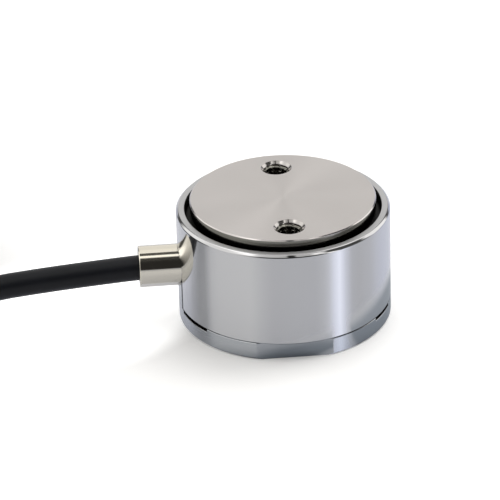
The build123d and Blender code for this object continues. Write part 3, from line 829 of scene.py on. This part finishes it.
def slotKey(look, columns=49, steps=5):
    # at each y the section is a block between the sleeve's two radii, as high as the circle
    # round the gland's line leaves it
    y = np.linspace(-look["keyHalf"], look["keyHalf"], columns)
    top = housing["glandHeight"] - np.sqrt(look["keySaddle"] ** 2 - y**2)
    out = -np.sqrt((look["radius"] - look["keyInset"]) ** 2 - y**2)
    inside = -np.sqrt(housing["bore"] ** 2 - y**2)
    e = look["edge"]
    turn = np.linspace(0, pi / 2, steps)
    loop = [(out, 0 * y + look["keyFoot"])]
    loop += [(out + e * (1 - cos(a)), top - e * (1 - sin(a))) for a in turn]
    loop += [(inside - e * (1 - sin(a)), top - e * (1 - cos(a))) for a in turn]
    loop.append((inside, 0 * y + look["keyFoot"]))
    points = np.stack([np.stack([x, y, z], axis=-1) for x, z in loop])
    return meshFrom("slotKey", [(points, gridFaces(len(loop), columns, closedRows=True))],
                    fills=[[points[:, 0]], [points[:, -1]]])


baseParts, baseFlats = groundBase(basePlate)
basePiece = meshFrom("groundBasePlate", baseParts, fills=baseFlats,
                     material=materials["ground_steel"])
joinOrCut(basePiece, slotKey(basePlate), "UNION")
settle(basePiece, "ground_steel", "base_plate")
print("base plate ground")


# Gland: plain tube through the sleeve's slot, its outer end eased into the bore
gland = {
    "radius": 2.45,
    "spigot": 2.0,
    "spigotEdge": 0.05,
    "bore": 1.65,
    "boreEdge": 0.03,
    "from": 8.05,
    "seat": 11.134,
    "seatEdge": 0.02,
    "end": 17.1,
    "edge": 0.14,
    "columns": 256,
}


def glandTube(look):
    # the profile is spun about the tube's own line: x = -distance, radius in y and z
    r, e, start, seat, end = (look[key] for key in ("radius", "edge", "from", "seat", "end"))
    profile = roundedProfile([
        (look["bore"], start, look["boreEdge"]), (look["spigot"], start, look["spigotEdge"]),
        (look["spigot"], seat, 0), (r, seat, look["seatEdge"]), (r, end, e),
        (look["bore"], end, e)])
    body = spun(profile, ringAngles(look["columns"]))
    points = np.stack([-body[..., 2], body[..., 0], body[..., 1] + housing["glandHeight"]], -1)
    return [(points, gridFaces(len(profile), look["columns"], True, True))]


glandPiece = meshFrom("glandTube", glandTube(gland), material=materials["nickel"])
settle(glandPiece, "nickel", "gland_tube")
print("gland made")


# Floor and studio
floorLook = {
    "size": 4.0,
    "colour": (0.92, 0.92, 0.92),
    "lift": 0.10,
    # glare: painted light, a glow for camera rays beside the cable that washes out its shadow
    "glareCentre": (-0.024, 0.003, 0),
    "glare": (0.0115, 0.0155),
    "glareLift": 0.45,
    "through": 0.76,
    # painted shade: what the metal sees of the paper close round the base is darker, but for a
    # streak
    "nearCentre": (0.0034, -0.0009, 0),
    "near": (0.0128, 0.0171),
    "reflectedShadeColour": (0.36, 0.39, 0.43),
    "streakAcross": (0.5534, 0.8329, 0),
    "streakAt": -0.00634,
    "streak": (0.0010, 0.0026),
}


def addFloor(look):
    # white paper, with painted light beside the cable, a camera-ray glow that washes out its
    # shadow;
    # what the metal sees of it is mostly the room's own lower half, and painted shade close
    # round the base, paper seen darker by reflections only, but for a light streak
    half = look["size"] / 2
    mesh = bpy.data.meshes.new("studioFloor")
    mesh.from_pydata([(-half, -half, 0), (half, -half, 0), (half, half, 0), (-half, half, 0)],
                     [], [(0, 1, 2, 3)])
    floor = bpy.data.objects.new("studioFloor", mesh)
    bpy.context.scene.collection.objects.link(floor)
    material, tree, shader = newMaterial("whiteFloor")
    path = addNode(tree, "ShaderNodeLightPath")
    seen = path.outputs["Is Glossy Ray"]
    place = addNode(tree, "ShaderNodeTexCoord").outputs["Object"]
    away = addNode(tree, "ShaderNodeVectorMath", {0: place, 1: look["nearCentre"]},
                   operation="DISTANCE").outputs["Value"]
    across = addNode(tree, "ShaderNodeVectorMath", {0: place, 1: look["streakAcross"]},
                     operation="DOT_PRODUCT").outputs["Value"]
    offStreak = mathNode(tree, "ABSOLUTE", mathNode(tree, "SUBTRACT", across, look["streakAt"]))
    # painted shade in reflections: glossy rays see darker paper near the base, except along the
    # streak
    near = mathNode(tree, "MULTIPLY", step(tree, away, look["near"][1], look["near"][0]),
                    step(tree, offStreak, *look["streak"]))
    tone(tree, shader, mathNode(tree, "MULTIPLY", seen, near), look["colour"],
         look["reflectedShadeColour"])
    shader.inputs["Roughness"].default_value = 1.0
    shader.inputs["Specular IOR Level"].default_value = 0.0
    shader.inputs["Emission Color"].default_value = (1, 1, 1, 1)
    # painted light: the paper glows brighter for camera rays round the glare's centre
    fromGlare = addNode(tree, "ShaderNodeVectorMath", {0: place, 1: look["glareCentre"]},
                        operation="DISTANCE").outputs["Value"]
    lift = step(tree, fromGlare, *look["glare"], look["lift"] + look["glareLift"], look["lift"])
    tree.links.new(mathNode(tree, "MULTIPLY", path.outputs["Is Camera Ray"], lift),
                   shader.inputs["Emission Strength"])
    through = addNode(tree, "ShaderNodeBsdfTransparent")
    share = mathNode(tree, "MULTIPLY", mathNode(tree, "SUBTRACT", 1.0, near),
                     mathNode(tree, "MULTIPLY", seen, look["through"]))
    mixed = addNode(tree, "ShaderNodeMixShader",
                    {0: share, 1: shader.outputs[0], 2: through.outputs[0]})
    tree.links.new(mixed.outputs[0], tree.nodes["Material Output"].inputs["Surface"])
    mesh.materials.append(material)


addFloor(floorLook)

# The room round the housing, by the angle to the right of the camera's side, in degrees,
# and how light it is there: low down (with how cool the light is), at mid height, higher
# up, and overhead, where two light panels leave a dark gap
room = {
    "front": -94.6,
    "low": [(-180, 0.62, 2), (-140, 0.66, 2), (-127, 0.62, 2), (-117, 0.46, 1.5),
            (-106, 0.34, 1), (-96, 0.33, 1), (-86, 0.60, 0.3), (-77, 0.66, 0), (-38, 0.66, 0),
            (-26, 0.56, 0.5), (-13, 0.47, 1), (33, 0.465, 1.5), (42, 0.54, 1.5), (48, 0.68, 2),
            (54, 1.0, 3), (61, 1.3, 3), (69, 0.8, 3), (77, 0.50, 2), (86, 0.46, 1.5),
            (106, 0.52, 2), (117, 0.60, 3), (131, 0.64, 4), (180, 0.62, 3)],
    "middle": [(-180, 0.86), (-158, 0.80), (-150, 0.10), (-135, 0.10), (-127, 1.15),
               (-104, 1.2), (-97, 1.0), (-60, 1.0), (-46, 0.70), (-32, 0.30),
               (-26, 0.03), (26, 0.02), (45, 0.10), (48, 1.4), (56, 1.4), (60, 0.10),
               (98, 0.08), (104, 1.2), (132, 1.3), (137, 0.10), (150, 0.10), (158, 0.80),
               (180, 0.86)],
    "upper": [(-180, 0.95), (-150, 0.9), (-130, 1.0), (-122, 1.8), (-50, 1.8), (-38, 0.8),
              (3, 0.6), (5, 0.03), (16, 0.03), (18, 0.6), (38, 0.6), (46, 1.5), (54, 0.9),
              (60, 0.06), (96, 0.06), (101, 1.8), (136, 1.7), (150, 0.9), (180, 0.95)],
    "overhead": [(-1, 1.25), (-0.08, 1.25), (-0.05, 0.10), (0.22, 0.10), (0.25, 1.1),
                 (1, 1.1)],
    "lowTop": 0.05,
    "middleFrom": 0.15,
    "middleTop": 0.74,
    "upperFrom": 0.86,
    "upperTop": 0.94,
    "overheadFrom": 0.975,
    "overheadTint": (1.02, 1.0, 0.965),
    "lessRed": 0.012,  # for each step of coolness
    "moreBlue": 0.05,
}


def addRoom(look):
    world = bpy.data.worlds.new("studioRoom")
    bpy.context.scene.world = world
    world.use_nodes = True
    tree = world.node_tree
    background = tree.nodes["Background"]
    ray = addNode(tree, "ShaderNodeTexCoord").outputs["Generated"]
    axes = addNode(tree, "ShaderNodeSeparateXYZ", {0: ray})
    angle = mathNode(tree, "ARCTAN2", axes.outputs["Y"], axes.outputs["X"])
    turned = mathNode(tree, "ADD", angle, pi - radians(look["front"]))
    share = mathNode(tree, "FRACT", mathNode(tree, "DIVIDE", turned, 2 * pi))
    across = mathNode(tree, "MULTIPLY_ADD", axes.outputs["Y"], 0.5, 0.5)

    def lights(factor, stops, first, last):
        # a stop without a coolness of its own is as warm as the overhead light
        colours = []
        for place, value, *cool in stops:
            tint = look["overheadTint"]
            if cool:
                tint = (1 - look["lessRed"] * cool[0], 1, 1 + look["moreBlue"] * cool[0])
            colours.append(((place - first) / (last - first),
                            tuple(value * part for part in tint)))
        return rampNode(tree, factor, colours)

    def blend(first, second, start, end):
        mix = addNode(tree, "ShaderNodeMix", data_type="RGBA")
        tree.links.new(step(tree, axes.outputs["Z"], start, end), mix.inputs[0])
        tree.links.new(first, mix.inputs[6])
        tree.links.new(second, mix.inputs[7])
        return mix.outputs[2]

    low, middle, upper = (lights(share, look[name], -180, 180)
                          for name in ("low", "middle", "upper"))
    overhead = lights(across, look["overhead"], -1, 1)
    colour = blend(blend(blend(low, middle, look["lowTop"], look["middleFrom"]), upper,
                         look["middleTop"], look["upperFrom"]), overhead,
                   look["upperTop"], look["overheadFrom"])
    path = addNode(tree, "ShaderNodeLightPath")
    seen = addNode(tree, "ShaderNodeMix", {0: path.outputs["Is Camera Ray"]}, data_type="RGBA")
    tree.links.new(colour, seen.inputs[6])
    seen.inputs[7].default_value = (1, 1, 1, 1)
    tree.links.new(seen.outputs[2], background.inputs["Color"])


addRoom(room)

lamps = {
    "keyPanel": {"spot": (0.38, 0.26, 0.62), "size": 1.2, "power": 6.5},
}
for name, look in lamps.items():
    light = bpy.data.lights.new(name, "AREA")
    light.shape = "DISK"
    light.size = look["size"]
    light.energy = look["power"]
    lamp = bpy.data.objects.new(name, light)
    bpy.context.scene.collection.objects.link(lamp)
    lamp.location = look["spot"]
    lamp.rotation_mode = "QUATERNION"
    lamp.rotation_quaternion = lamp.location.to_track_quat("Z", "Y")
    lamp.visible_glossy = False
print("studio lit")
